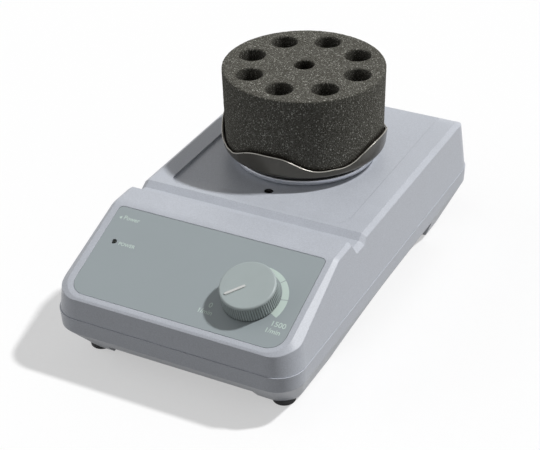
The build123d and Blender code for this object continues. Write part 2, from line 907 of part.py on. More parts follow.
def make_idler_bushes():
    bushes = []
    top = plate_top + bush_flange
    for x, y in idler_places(0, drive_y):
        bush = disc(bush_radius, plate_height, plate_top, x, y)
        bush += disc(bush_flange_radius, plate_top, top, x, y)
        bush -= disc(idler_pin_radius + running_fit, plate_height - over, top + over, x, y)
        bushes.append(bush)
    return Compound(children=bushes)


def make_eccentric():
    """Crank on the motor shaft whose upper pin sits off the axis."""
    crank = disc(crank_radius, crank_bottom, crank_top, 0, drive_y)
    crank += disc(crank_pin_radius, crank_top, orbit_plate_bottom + main_bearing_height, pin_x, pin_y)
    crank -= disc(motor_shaft_radius, crank_bottom - over, crank_top, 0, drive_y)
    return crank - crank_screw_rod(0, crank_radius + over)


def crank_screw_rod(start, end):
    """Rod across the crank, between two distances from its axis."""
    rod = Rot(90, 0, 0) * Cylinder(crank_screw_radius, end - start)
    return Pos(0, drive_y - (start + end) / 2, (crank_bottom + crank_top) / 2) * rod


def make_crank_screw():
    return crank_screw_rod(motor_shaft_radius, crank_radius - crank_screw_recess)


def make_counterweight():
    """Half ring opposite the crank pin."""
    top = crank_bottom + counterweight_thickness
    ring = disc(counterweight_radius, crank_bottom, top, 0, drive_y)
    ring -= disc(crank_radius, crank_bottom - over, crank_top, 0, drive_y)
    half = block(0, 2 * counterweight_radius, -2 * counterweight_radius, 2 * counterweight_radius,
                 crank_bottom, top)
    return ring & (Pos(0, drive_y) * Rot(0, 0, orbit_phase + 180.0) * half)


def make_idler_crank(x, y):
    """Small crank that keeps the platform from turning."""
    upper_x, upper_y = x + pin_x, y + pin_y - drive_y
    crank = disc(idler_pin_radius, plate_height + idler_end_gap, idler_web_bottom, x, y)
    crank += disc(idler_web_radius, idler_web_bottom, idler_web_top, x, y)
    pin_top = orbit_plate_bottom + idler_bearing_height
    crank += disc(idler_pin_radius, idler_web_top, pin_top, upper_x, upper_y)
    return crank


def make_orbit_plate():
    """Disc that carries the platform, with seats for its four bearings."""
    bottom, top = orbit_plate_bottom, platform_bottom
    plate = disc(orbit_plate_radius, bottom, top, pin_x, pin_y)
    plate -= disc(main_bearing_radius, bottom - over, bottom + main_bearing_height, pin_x, pin_y)
    for x, y in idler_places(pin_x, pin_y):
        plate -= disc(idler_bearing_radius, bottom - over, bottom + idler_bearing_height, x, y)
    for x, y in platform_screw_places():
        plate -= disc(screw_radius, top - platform_screw_depth, top + over, x, y)
    return plate


def platform_screw_places():
    return ring_places(platform_screw_count, platform_screw_circle, platform_screw_phase, pin_x, pin_y)


def ball_bearing(outer, inner, z0, height, x, y):
    """Closed bearing with shallow grooves between its rings and its shields."""
    body = disc(outer, z0, z0 + height, x, y) - disc(inner, z0 - over, z0 + height + over, x, y)
    ring = bearing_ring_share * (outer - inner)
    groove_top = z0 + bearing_groove
    shield = disc(outer - ring, z0 - over, groove_top, x, y) - disc(inner + ring, z0 - over, groove_top, x, y)
    return body - shield


def make_main_bearing():
    return ball_bearing(main_bearing_radius, crank_pin_radius + running_fit, orbit_plate_bottom,
                        main_bearing_height, pin_x, pin_y)


def make_idler_bearings():
    rings = [ball_bearing(idler_bearing_radius, idler_pin_radius + running_fit, orbit_plate_bottom,
                          idler_bearing_height, x, y) for x, y in idler_places(pin_x, pin_y)]
    return Compound(children=rings)


def make_platform_ring():
    """Pale platform disc with a raised lip round its edge."""
    z0, z1 = platform_bottom, platform_top
    lip_top = z1 + platform_lip
    band_radius = platform_radius - platform_band
    lip_inner = platform_radius - platform_lip_width
    section = make_face(Polyline(
        (0, z0), (band_radius - 2 * platform_edge, z0), (band_radius, z0 + 2 * platform_edge),
        (band_radius, z0 + platform_band_height),
        (platform_radius, z0 + platform_band_height + platform_edge),
        (platform_radius, lip_top - platform_edge), (platform_radius - platform_edge, lip_top),
        (lip_inner, lip_top), (lip_inner - platform_edge, z1), (0, z1), close=True))
    ring = Pos(pin_x, pin_y) * revolve(Plane.XZ * section, Axis.Z)
    for x, y in platform_screw_places() + dish_screw_places():
        ring -= disc(screw_radius, z0 - over, z1 + over, x, y)
    for x, y in platform_screw_places():
        ring -= disc(screw_head_radius + screw_head_gap, z1 - platform_screw_head, z1 + over, x, y)
    return ring


def make_platform_screws():
    seat = platform_top - platform_screw_head
    tip = platform_bottom - platform_screw_depth + screw_tip_gap
    screws = [hanging_screw(x, y, seat, tip, screw_head_radius, platform_screw_head)
              for x, y in platform_screw_places()]
    return Compound(children=screws)


# Tube attachment
def dish_screw_places():
    return ring_places(dish_screw_count, dish_screw_circle, dish_screw_phase, pin_x, pin_y)


def make_attachment_riser():
    riser = disc(riser_radius, platform_top, dish_bottom, pin_x, pin_y)
    riser = chamfer(riser.edges().group_by(Axis.Z)[0], riser_edge)
    for x, y in dish_screw_places():
        riser -= disc(screw_radius, platform_top - over, dish_bottom + over, x, y)
    return riser


def dish_notch(angle):
    """Soft edged scallop in the rim, cut outwards from the middle."""
    low, high = dish_notch_height, dish_tab_height
    half, shoulder, flat = dish_notch_half_width, dish_notch_shoulder, dish_notch_flat
    shoulder_z = high - dish_notch_shoulder_drop
    flat_z = low + dish_notch_flat_rise
    curve = Spline((-half, high), (-shoulder, shoulder_z), (-flat, flat_z), (0, low),
                   (flat, flat_z), (shoulder, shoulder_z), (half, high), tangents=((1, 0), (1, 0)))
    lid = Polyline((half, high), (half, high + over), (-half, high + over), (-half, high))
    face = Plane.XZ * make_face(curve + lid)
    reach = extrude(face, amount=-2 * dish_rim_radius)
    return Pos(pin_x, pin_y, 0) * Rot(0, 0, angle - 90.0) * reach


def make_attachment_dish():
    """Thin springy dish whose rim rises in four broad tabs."""
    z0, z1 = dish_bottom, dish_tab_height
    outer = make_face(Polyline((0, z0), (dish_floor_radius, z0), (dish_rim_radius, z1), (0, z1), close=True))
    corner = outer.vertices().sort_by_distance(Vector(dish_floor_radius, z0))[0]
    outer = fillet(corner, dish_edge)
    inner = make_face(Polyline((0, z0 + dish_floor), (dish_floor_radius - dish_wall, z0 + dish_floor),
                               (dish_rim_radius - dish_wall, z1 + sink), (0, z1 + sink), close=True))
    corner = inner.vertices().sort_by_distance(Vector(dish_floor_radius - dish_wall, z0 + dish_floor))[0]
    inner = fillet(corner, dish_edge - dish_wall)
    section = outer - inner
    dish = Pos(pin_x, pin_y) * revolve(Plane.XZ * section, Axis.Z)
    for i in range(dish_notch_count):
        dish -= dish_notch(dish_notch_phase + 360.0 * i / dish_notch_count)
    for x, y in dish_screw_places():
        dish -= countersink(x, y) + disc(screw_radius, z0 - over, z0 + over, x, y)
    return dish


def countersink(x, y):
    """Cone through the dish floor, for the head of its screw."""
    middle = dish_bottom + dish_floor / 2
    return Pos(x, y, middle) * Cone(screw_radius, screw_radius + dish_floor, dish_floor)


def make_dish_screws():
    screws = []
    for x, y in dish_screw_places():
        shank = disc(screw_radius, platform_bottom + sink, dish_bottom, x, y)
        screws.append(countersink(x, y) + shank - screw_slot(x, y, dish_bottom + dish_floor))
    return Compound(children=screws)


def make_foam_insert():
    """Soft round block with holes cut right through it, so that tubes stand on the dish."""
    z_mid = (foam_bottom + foam_top) / 2
    foam = Pos(pin_x, pin_y, z_mid) * Cone(foam_bottom_radius, foam_top_radius, foam_height)
    foam = fillet(foam.edges().group_by(Axis.Z)[0], dish_edge)
    holes = [(tube_radius, x, y) for x, y in ring_places(tube_count, tube_circle, tube_phase, pin_x, pin_y)]
    for radius, x, y in holes + [(centre_hole_radius, pin_x, pin_y)]:
        foam -= disc(radius, foam_bottom - over, foam_top + over, x, y)
    return foam


# Power parts
def make_ballast_plate():
    """Steel slab on the floor that keeps the case from walking."""
    front = case_screw_front_y + ballast_gap
    rear = deck_screw_y - ballast_gap
    top = floor_top + ballast_thickness
    slab = block(-ballast_half_width, ballast_half_width, front, rear, floor_top, top)
    slab = chamfer(slab.edges().filter_by(Axis.Z), ballast_corner)
    for x, y in ballast_screw_places():
        slab -= disc(screw_radius, floor_top - over, top + over, x, y)
    return slab


def ballast_screw_places():
    y = (case_screw_front_y + deck_screw_y) / 2
    return [(-ballast_screw_x, y), (ballast_screw_x, y)]


def make_ballast_screws():
    seat = floor_top + ballast_thickness
    return Compound(children=[hanging_screw(x, y, seat, floor_top) for x, y in ballast_screw_places()])


def power_screw_places():
    x = (power_board_left + power_board_right) / 2
    return [(x, power_board_front + power_screw_inset), (x, power_board_rear - power_screw_inset)]


def make_board_posts():
    posts = []
    for x, y in power_screw_places():
        post = disc(power_post_radius, floor_top, power_board_bottom, x, y)
        posts.append(post - disc(screw_radius, floor_top + sink, power_board_bottom + over, x, y))
    return Compound(children=posts)


def make_power_board():
    """Supply board with a transformer, a capacitor and two terminal blocks."""
    mid = (power_board_left + power_board_right) / 2
    board = block(power_board_left, power_board_right, power_board_front, power_board_rear,
                  power_board_bottom, power_board_top)
    parts = [(transformer_y, transformer_width, transformer_length, transformer_height),
             (terminal_front_y, terminal_width, terminal_length, terminal_height),
             (terminal_rear_y, terminal_width, terminal_length, terminal_height)]
    for y, width, length, height in parts:
        board += Pos(mid, y, power_board_top + height / 2) * Box(width, length, height)
    cap_top = power_board_top + smoothing_cap_height
    board += disc(smoothing_cap_radius, power_board_top, cap_top, mid, smoothing_cap_y)
    for x, y in power_screw_places():
        board -= disc(screw_radius + board_screw_gap, power_board_bottom - over, power_board_top + over, x, y)
    return board


def make_power_board_screws():
    tip = floor_top + screw_tip_gap
    return Compound(children=[hanging_screw(x, y, power_board_top, tip) for x, y in power_screw_places()])


def make_mains_inlet():
    """Appliance inlet: flanged body with a deep socket and three blade slots."""
    face = rear_face_y + inlet_flange
    body = rear_block(inlet_x, inlet_z, inlet_body_width, inlet_body_height,
                      rear_face_y - inlet_depth, rear_face_y)
    flange = rear_block(inlet_x, inlet_z, inlet_flange_width, inlet_flange_height, rear_face_y, face)
    flange = fillet(flange.edges().filter_by(Axis.Y), inlet_corner)
    socket = rear_block(inlet_x, inlet_z, inlet_socket_width, inlet_socket_height,
                        face - inlet_socket_depth, face + over)
    upper_edges = socket.edges().filter_by(Axis.Y).group_by(Axis.Z)[-1]
    inlet = body + flange - chamfer(upper_edges, inlet_socket_chamfer)
    for pin in inlet_pin_blocks():
        inlet -= pin
    return inlet


def inlet_pin_blocks():
    """Three blades: two low ones and the raised earth blade."""
    front = rear_face_y + inlet_flange - inlet_pin_recess
    back = rear_face_y - inlet_depth - inlet_pin_tail
    places = ((-inlet_pin_pitch, -inlet_pin_drop), (inlet_pin_pitch, -inlet_pin_drop), (0, inlet_pin_drop))
    return [rear_block(inlet_x + dx, inlet_z + dz, inlet_pin_width, inlet_pin_height, back, front)
            for dx, dz in places]


def make_inlet_pins():
    return Compound(children=inlet_pin_blocks())


def make_switch_frame():
    face = rear_face_y + switch_flange
    frame = rear_block(switch_x, switch_z, switch_flange_width, switch_flange_height, rear_face_y, face)
    frame = fillet(frame.edges().filter_by(Axis.Y), switch_corner)
    frame += rear_block(switch_x, switch_z, switch_body_width, switch_body_height,
                        rear_face_y - switch_depth, rear_face_y)
    window = rear_block(switch_x, switch_z, 2 * (rocker_radius + rocker_gap), rocker_height + 2 * rocker_gap,
                        rocker_pivot_y - rocker_radius - rocker_gap, face + over)
    frame -= window
    for sz in (-1, 1):
        z = switch_z + sz * (rocker_height / 2 + rocker_gap + rocker_pin_pocket / 2)
        frame -= disc(rocker_pin_radius + running_fit, z - rocker_pin_pocket, z + rocker_pin_pocket / 2,
                      switch_x, rocker_pivot_y)
    return frame


def make_rocker_button():
    """Two-way rocker on short pivot pins, drawn in its off position."""
    hollow = rocker_radius * sin(radians(rocker_throw / 2))
    high, low = rocker_crown + hollow, rocker_crown - hollow
    shape = make_face(Polyline(
        (-rocker_radius, -rocker_back), (-rocker_radius, high), (0, low), (rocker_radius, high),
        (rocker_radius, -rocker_back), close=True))
    drum = Cylinder(rocker_radius, rocker_height)
    body = drum & extrude(shape, amount=rocker_height / 2, both=True)
    body += Cylinder(rocker_pin_radius, rocker_height + 2 * rocker_pin_length)
    return Pos(switch_x, rocker_pivot_y, switch_z) * Rot(0, 0, -rocker_throw / 2) * body


def make_fuse_holder():
    """Round panel fuse holder with a slotted cap."""
    flange_y = rear_face_y + fuse_flange
    cap_y = flange_y + fuse_cap_height
    body = rear_disc(fuse_radius, rear_face_y - fuse_depth, rear_face_y)
    flange = rear_disc(fuse_flange_radius, rear_face_y, flange_y)
    cap = rear_disc(fuse_radius - fuse_cap_gap, flange_y, cap_y)
    cap -= Pos(fuse_x, cap_y, fuse_z) * Box(fuse_slot_length, 2 * fuse_slot_depth, fuse_slot_width)
    return body + flange + cap


def make_deck_screw():
    tip = deck_underside - deck_screw_depth + screw_tip_gap
    return hanging_screw(0, deck_screw_y, deck_screw_seat_z, tip, deck_screw_head_radius,
                         deck_screw_head_height)


save("lower_housing", make_lower_housing())
save("upper_housing", make_upper_housing())
save("rubber_feet", make_rubber_feet())
save("housing_screws", make_housing_screws())
save("deck_screw", make_deck_screw())
save("control_overlay", make_overlay())
save("power_led", make_power_led())
save("control_board", make_control_board())
save("board_spacers", make_board_spacers())
save("board_screws", make_board_screws())
save("potentiometer", make_potentiometer())
save("pot_nut", make_pot_nut())
save("pot_shaft", make_pot_shaft())
save("speed_knob", make_speed_knob())
save("motor", make_motor())
save("motor_shaft", make_motor_shaft())
save("bearing_plate", make_bearing_plate())
save("plate_screws", make_plate_screws())
save("motor_screws", make_motor_screws())
save("idler_bushes", make_idler_bushes())
save("eccentric", make_eccentric())
save("crank_screw", make_crank_screw())
save("counterweight", make_counterweight())
for number, (idler_x, idler_y) in enumerate(idler_places(0, drive_y), start=1):
    save(f"idler_crank_{number}", make_idler_crank(idler_x, idler_y))
save("orbit_plate", make_orbit_plate())
save("main_bearing", make_main_bearing())
save("idler_bearings", make_idler_bearings())
save("platform_ring", make_platform_ring())
save("platform_screws", make_platform_screws())
save("attachment_riser", make_attachment_riser())
save("attachment_dish", make_attachment_dish())
save("dish_screws", make_dish_screws())
save("foam_insert", make_foam_insert())
save("ballast_plate", make_ballast_plate())
save("ballast_screws", make_ballast_screws())
save("board_posts", make_board_posts())
save("power_board", make_power_board())
save("power_board_screws", make_power_board_screws())
save("mains_inlet", make_mains_inlet())
save("inlet_pins", make_inlet_pins())
save("switch_frame", make_switch_frame())
save("rocker_button", make_rocker_button())
save("fuse_holder", make_fuse_holder())
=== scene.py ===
import json
import math

import bmesh
import bpy
from mathutils import Matrix, Vector, noise


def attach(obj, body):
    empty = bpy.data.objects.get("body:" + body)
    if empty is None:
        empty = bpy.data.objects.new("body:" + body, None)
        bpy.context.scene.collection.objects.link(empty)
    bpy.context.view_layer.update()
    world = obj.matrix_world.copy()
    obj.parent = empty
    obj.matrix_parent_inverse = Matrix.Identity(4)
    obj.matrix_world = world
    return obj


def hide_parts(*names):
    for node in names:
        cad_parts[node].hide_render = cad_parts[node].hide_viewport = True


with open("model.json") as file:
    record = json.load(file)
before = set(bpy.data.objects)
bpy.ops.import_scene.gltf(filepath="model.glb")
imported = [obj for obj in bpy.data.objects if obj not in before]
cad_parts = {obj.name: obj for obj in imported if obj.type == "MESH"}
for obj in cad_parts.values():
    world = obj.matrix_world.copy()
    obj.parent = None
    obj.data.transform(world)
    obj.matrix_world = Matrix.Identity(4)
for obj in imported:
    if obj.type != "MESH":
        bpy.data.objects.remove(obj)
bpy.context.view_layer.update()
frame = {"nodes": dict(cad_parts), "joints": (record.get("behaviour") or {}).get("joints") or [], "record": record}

nodes = frame["nodes"]
MM = 0.001

# Camera, fitted to the long edges of the case
CAMERA_PLACE = Vector((343.859, -653.977, 497.768)) * MM
CAMERA_AZIMUTH = math.radians(28.046)
CAMERA_ELEVATION = math.radians(32.062)
CAMERA_ROLL = math.radians(-1.447)
CAMERA_LENS = 97.56
CAMERA_SENSOR = 36.0

# Light: a key lamp from the right and behind, a soft fill from the front left, and an even sky
KEY_DIRECTION = Vector((8.6, 5.3, 14.4))
KEY_STRENGTH = 2.9
KEY_ANGLE = math.radians(4.0)
FILL_DIRECTION = Vector((-0.95, -0.34, 0.3))
FILL_STRENGTH = 0.54
FILL_ANGLE = math.radians(60.0)
SKY_STRENGTH = 0.22

# Floor: half its side in metres, its paper as the camera and as diffuse light see it, and its glow
FLOOR_HALF = 3.0
FLOOR_SHOWN = 0.5
FLOOR_BOUNCE = 0.22
FLOOR_GLOW = 0.48

# Panel print, in millimetres round the knob's axis
FILM_TOP = -0.05 * MM
PRINT_THICKNESS = 0.04 * MM
SCALE_OUTER = 20.3
SCALE_START = 130.0
SCALE_END = -24.0
SCALE_START_WIDTH = 1.85
SCALE_END_WIDTH = 4.6
SCALE_GAP_FIRST = 10.5
SCALE_GAP_PITCH = 38.0
SCALE_GAP = 0.45
SCALE_STEP = 2.0
LOW_NUMBER = (-18.6, -11.8)
HIGH_NUMBER = (21.7, -12.1)
UNIT_SHIFT = (-1.3, -4.6)
NUMBER_SIZE = 4.4
UNIT_SIZE = 4.0
LAMP_PLACE = (-91.4, 10.6)
LAMP_LEGEND_SHIFT = (8.4, -0.6)
LAMP_LEGEND_SIZE = 3.0
TOP_LEGEND = (-89.0, 27.3)
TOP_LEGEND_SIZE = 3.9
TOP_MARK = (-95.9, 26.9)
TOP_MARK_SIZE = 1.1
LETTER_WEIGHT = 0.05 * MM

# Raised pointer on the knob, in millimetres from its axis and from the panel
POINTER_ANGLE = math.radians(225.0)
POINTER_START = 1.0
POINTER_END = 13.0
POINTER_HALF_WIDTH = 0.75
POINTER_BOTTOM = 10.4
POINTER_TOP = 11.15
POINTER_EDGE = 0.25
POINTER_EDGE_STEPS = 3
POINTER_END_STEPS = 6

# Foam: its remeshed skin, the scales of its roughness, the grain of its colour and the reach of the painted shade
# in its holes
FOAM_VOXEL = 0.8 * MM
FOAM_ROUGHNESS = 0.12 * MM
FOAM_COARSE = 700.0
FOAM_FINE = 1500.0
FOAM_FINE_SHARE = 0.6
FOAM_SINK = 0.5
FOAM_GRAIN = 1300.0
FOAM_PAINTED_SHADE = 14.0 * MM

# Rolled rim of the dish, a bead coloured light as a painted highlight
RIM_RADIUS = 0.32 * MM
RIM_STEPS = 180
RIM_SMOOTHINGS = 3

# Samples of the shader nodes that look round an edge, or into a hollow to paint shade there
EDGE_SAMPLES = 4
PAINTED_SHADE_SAMPLES = 8


def linear(red, green, blue):
    """Scene colour of an sRGB colour given as 0 to 255."""
    def one(value):
        share = value / 255
        return share / 12.92 if share <= 0.04045 else ((share + 0.055) / 1.055) ** 2.4
    return (one(red), one(green), one(blue), 1.0)


def scaled(color, factor):
    """Colour made lighter or darker by a factor."""
    return tuple(min(1.0, c * factor) for c in color[:3]) + (1.0,)


# Materials
def new_material(name):
    material = bpy.data.materials.new(name)
    material.use_nodes = True
    tree = material.node_tree
    shader = tree.nodes["Principled BSDF"]
    return material, tree, shader


def coordinates(tree):
    return tree.nodes.new("ShaderNodeTexCoord").outputs["Object"]


def noise_node(tree, scale, detail=2.0, roughness=0.5):
    node = tree.nodes.new("ShaderNodeTexNoise")
    node.inputs["Scale"].default_value = scale
    node.inputs["Detail"].default_value = detail
    node.inputs["Roughness"].default_value = roughness
    tree.links.new(coordinates(tree), node.inputs["Vector"])
    return node.outputs["Fac"]


def ramp(tree, source, stops):
    """Colour ramp from a list of (place, colour)."""
    node = tree.nodes.new("ShaderNodeValToRGB")
    while len(node.color_ramp.elements) < len(stops):
        node.color_ramp.elements.new(0.5)
    for element, (place, color) in zip(node.color_ramp.elements, stops):
        element.position = place
        element.color = color
    tree.links.new(source, node.inputs["Fac"])
    return node.outputs["Color"]


def shown(tree):
    """One for rays from the camera and for reflections, zero for the rest."""
    path = tree.nodes.new("ShaderNodeLightPath")
    node = tree.nodes.new("ShaderNodeMath")
    node.operation = "MAXIMUM"
    tree.links.new(path.outputs["Is Camera Ray"], node.inputs[0])
    tree.links.new(path.outputs["Is Glossy Ray"], node.inputs[1])
    return node.outputs["Value"]


def spread(tree, source, low, high):
    """Map a noise of 0.3 to 0.7 onto a range."""
    node = tree.nodes.new("ShaderNodeMapRange")
    node.inputs["From Min"].default_value = 0.3
    node.inputs["From Max"].default_value = 0.7
    node.inputs["To Min"].default_value = low
    node.inputs["To Max"].default_value = high
    tree.links.new(source, node.inputs["Value"])
    return node.outputs["Result"]


def multiplied(tree, first, second):
    """Product of two colours."""
    node = tree.nodes.new("ShaderNodeMix")
    node.data_type = "RGBA"
    node.blend_type = "MULTIPLY"
    node.inputs["Factor"].default_value = 1.0
    sockets = [socket for socket in node.inputs if socket.type == "RGBA"]
    tree.links.new(first, sockets[0])
    tree.links.new(second, sockets[1])
    return next(socket for socket in node.outputs if socket.type == "RGBA")


def painted_hollow_shade(tree, color, distance, low, high, shade):
    """Colour with painted shade: it darkens to a shade colour where the surface lies in a hollow of about the
    given width.
    """
    painted_shade = tree.nodes.new("ShaderNodeAmbientOcclusion")
    painted_shade.samples = PAINTED_SHADE_SAMPLES
    painted_shade.inputs["Distance"].default_value = distance
    painted_hollow_factor = ramp(tree, painted_shade.outputs["AO"], [(low, shade), (high, (1, 1, 1, 1))])
    return multiplied(tree, color, painted_hollow_factor)


def bump(tree, shader, source, distance, strength=1.0, edge=0.0):
    """Relief from a noise, over edges that look rounded by the given radius."""
    node = tree.nodes.new("ShaderNodeBump")
    node.inputs["Strength"].default_value = strength
    node.inputs["Distance"].default_value = distance
    tree.links.new(source, node.inputs["Height"])
    if edge:
        bevel = tree.nodes.new("ShaderNodeBevel")
        bevel.samples = EDGE_SAMPLES
        bevel.inputs["Radius"].default_value = edge
        tree.links.new(bevel.outputs["Normal"], node.inputs["Normal"])
    tree.links.new(node.outputs["Normal"], shader.inputs["Normal"])


def surface(name, color, rough, metal=0.0, mottle=0.06, mottle_scale=60.0, grain=2500.0,
            grain_depth=0.02 * MM, rough_spread=0.06, edge=0.0, painted_shade=0.0, specular=0.5):
    """Moulded or machined surface: a faint mottle, fine grain, uneven gloss and, if given a width, painted shade
    in its hollows.
    """
    material, tree, shader = new_material(name)
    patches = noise_node(tree, mottle_scale, 4.0, 0.6)
    shade = ramp(tree, patches, [(0.3, scaled(color, 1 - mottle)), (0.7, scaled(color, 1 + mottle))])
    # Painted shade: the colour is darkened in hollows, where shade falls.
    if painted_shade:
        shade = painted_hollow_shade(tree, shade, painted_shade, 0.45, 0.9, (0.42, 0.4, 0.37, 1))
    tree.links.new(shade, shader.inputs["Base Color"])
    tree.links.new(spread(tree, patches, rough - rough_spread, rough + rough_spread),
                   shader.inputs["Roughness"])
    bump(tree, shader, noise_node(tree, grain, 2.0), grain_depth, edge=edge)
    shader.inputs["Metallic"].default_value = metal
    shader.inputs["Specular IOR Level"].default_value = specular
    return material


def housing_material():
    """Pale blue-grey enamel with a fine spatter texture."""
    material, tree, shader = new_material("housing_enamel")
    base = linear(184, 188, 196)
    patches = noise_node(tree, 35.0, 5.0, 0.65)
    broad = ramp(tree, patches, [(0.3, scaled(base, 0.97)), (0.7, scaled(base, 1.03))])
    fleck = ramp(tree, noise_node(tree, 1400.0, 2.0),
                 [(0.35, (0.93, 0.93, 0.93, 1)), (0.65, (1.05, 1.05, 1.05, 1))])
    tree.links.new(multiplied(tree, broad, fleck), shader.inputs["Base Color"])
    tree.links.new(spread(tree, patches, 0.36, 0.46), shader.inputs["Roughness"])
    bump(tree, shader, noise_node(tree, 1600.0, 2.0), 0.02 * MM, 0.8, edge=0.5 * MM)
    shader.inputs["Specular IOR Level"].default_value = 0.5
    return material


def foam_material():
    """Open charcoal foam: dark pores and light flecks, with painted shade in its holes."""
    material, tree, shader = new_material("charcoal_foam")
    cells = noise_node(tree, FOAM_GRAIN, 3.0, 0.7)
    dark, middle, light = linear(52, 48, 42), linear(86, 85, 79), linear(214, 213, 204)
    color = ramp(tree, cells, [(0.36, dark), (0.47, middle), (0.58, middle), (0.7, light)])
    # Painted shade: the foam's holes and hollows are darkened by an occlusion node.
    shade = painted_hollow_shade(tree, color, FOAM_PAINTED_SHADE, 0.35, 0.85, (0.2, 0.18, 0.16, 1))
    tree.links.new(shade, shader.inputs["Base Color"])
    shader.inputs["Roughness"].default_value = 1.0
    shader.inputs["Specular IOR Level"].default_value = 0.12
    bump(tree, shader, cells, 0.3 * MM, 0.8)
    return material


def turned_material(name, color, rough, scale=700.0):
    """Turned metal with fine concentric tool marks round +Z."""
    material, tree, shader = new_material(name)
    wave = tree.nodes.new("ShaderNodeTexWave")
    wave.wave_type = "RINGS"
    wave.rings_direction = "Z"
    wave.inputs["Scale"].default_value = scale
    wave.inputs["Distortion"].default_value = 2.0
    tree.links.new(coordinates(tree), wave.inputs["Vector"])
    patches = noise_node(tree, 90.0, 4.0)
    shade = ramp(tree, patches, [(0.3, scaled(color, 0.93)), (0.7, scaled(color, 1.07))])
    tree.links.new(shade, shader.inputs["Base Color"])
    tree.links.new(spread(tree, patches, rough - 0.05, rough + 0.07), shader.inputs["Roughness"])
    bump(tree, shader, wave.outputs["Fac"], 0.004 * MM, 0.5, edge=0.3 * MM)
    shader.inputs["Metallic"].default_value = 1.0
    return material


def make_materials():
    film = linear(153, 162, 165)
    return {
        "housing": housing_material(),
        "feet": surface("foot_rubber", linear(38, 38, 40), 0.75, grain=1200.0),
        "screw_steel": surface("zinc_screw", linear(168, 170, 174), 0.32, metal=1.0, edge=0.2 * MM),
        "overlay": surface("panel_film", film, 0.42, mottle=0.012, mottle_scale=25.0, grain=5000.0,
                           grain_depth=0.006 * MM, edge=0.15 * MM),
        "lamp": surface("lamp_lens", linear(24, 28, 24), 0.5, mottle=0.1, grain_depth=0.002 * MM,
                        specular=0.2),
        "circuit_board": surface("solder_mask", linear(28, 92, 52), 0.35, mottle=0.12, mottle_scale=300.0),
        "dark_plastic": surface("moulded_black", linear(44, 44, 46), 0.5, edge=0.3 * MM),
        "shaft_steel": turned_material("turned_steel", linear(178, 180, 184), 0.3),
        # The knob's grooves between its ribs get painted shade.
        "knob": surface("knob_plastic", linear(165, 175, 175), 0.45, mottle=0.02, mottle_scale=80.0,
                        grain=3000.0, grain_depth=0.01 * MM, edge=0.12 * MM, painted_shade=1.6 * MM),
        "motor_can": surface("motor_coat", linear(58, 58, 62), 0.45, metal=0.2, edge=0.4 * MM),
        "cast_metal": surface("cast_alloy", linear(176, 178, 180), 0.42, metal=0.9, grain=900.0,
                              grain_depth=0.05 * MM, edge=0.3 * MM),
        "bush_bronze": turned_material("sintered_bronze", linear(188, 150, 96), 0.42),
        "bearing_steel": turned_material("ground_steel", linear(196, 198, 202), 0.18),
        "platform_metal": turned_material("platform_alloy", linear(206, 209, 216), 0.3),
        "riser": surface("riser_black", linear(24, 23, 22), 0.55, edge=0.3 * MM),
        "dish": surface("dish_coat", linear(90, 87, 80), 0.25, metal=0.5, mottle=0.02, mottle_scale=45.0,
                        grain_depth=0.002 * MM, rough_spread=0.02, edge=0.35 * MM),
        # Rim bead: its light colour is a painted highlight along the dish's edge.
        "rim": surface("rim_painted_highlight", linear(172, 169, 161), 0.3, metal=0.6, mottle=0.02,
                       grain_depth=0.002 * MM),
        "ring": surface("ring_alloy", linear(226, 229, 236), 0.2, metal=0.65, mottle=0.015,
                        grain_depth=0.003 * MM, edge=0.5 * MM),
        "black_screw": surface("black_oxide", linear(34, 34, 36), 0.22, metal=0.7, grain_depth=0.002 * MM,
                               edge=0.25 * MM),
        "foam": foam_material(),
        "ballast_steel": surface("oiled_plate", linear(86, 86, 88), 0.4, metal=0.8, mottle=0.15),
        "pointer": surface("pointer_plastic", linear(206, 208, 206), 0.4, mottle=0.02, grain=3000.0,
                           grain_depth=0.005 * MM),
        "print": surface("print_ink", linear(196, 211, 204), 0.5, mottle=0.015, grain=4000.0,
                         grain_depth=0.003 * MM),
    }


# Looks of single nodes that differ from their slot's
OWN_LOOKS = {"deck_screw": "black_screw", "platform_ring": "ring"}

materials = make_materials()
slots = {part["node"]: part["material_slot"] for part in frame["record"]["subparts"]}
for node, thing in nodes.items():
    thing.data.materials.clear()
    thing.data.materials.append(materials[OWN_LOOKS.get(node, slots[node])])


# Pieces
def add_piece(name, mesh, material, body, smooth=False):
    piece = bpy.data.objects.new(name, mesh)
    bpy.context.scene.collection.objects.link(piece)
    piece.data.materials.clear()
    piece.data.materials.append(material)
    if smooth:
        piece.data.shade_smooth()
    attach(piece, body)
    return piece


def applied(mesh, modifiers):
    """Mesh after its modifiers, given as (type, settings)."""
    thing = bpy.data.objects.new("scratch", mesh)
    bpy.context.scene.collection.objects.link(thing)
    for kind, settings in modifiers:
        modifier = thing.modifiers.new(kind.lower(), kind)
        for key, value in settings.items():
            setattr(modifier, key, value)
    graph = bpy.context.evaluated_depsgraph_get()
    made = bpy.data.meshes.new_from_object(thing.evaluated_get(graph))
    bpy.data.objects.remove(thing)
    return made


def curve_mesh(curve):
    """Mesh of a curve or a text."""
    thing = bpy.data.objects.new("scratch", curve)
    bpy.context.scene.collection.objects.link(thing)
    graph = bpy.context.evaluated_depsgraph_get()
    made = bpy.data.meshes.new_from_object(thing.evaluated_get(graph))
    bpy.data.objects.remove(thing)
    return made


def raised(build, faces, height):
    """Thicken faces along +Z and give the vertices of their new top."""
    parts = bmesh.ops.extrude_face_region(build, geom=faces)["geom"]
    top = [part for part in parts if isinstance(part, bmesh.types.BMVert)]
    bmesh.ops.translate(build, verts=top, vec=(0, 0, height))
    return top


def finished(build, name):
    """Mesh of a closed bmesh, its faces turned outwards."""
    bmesh.ops.recalc_face_normals(build, faces=build.faces[:])
    mesh = bpy.data.meshes.new(name)
    build.to_mesh(mesh)
    build.free()
    return mesh


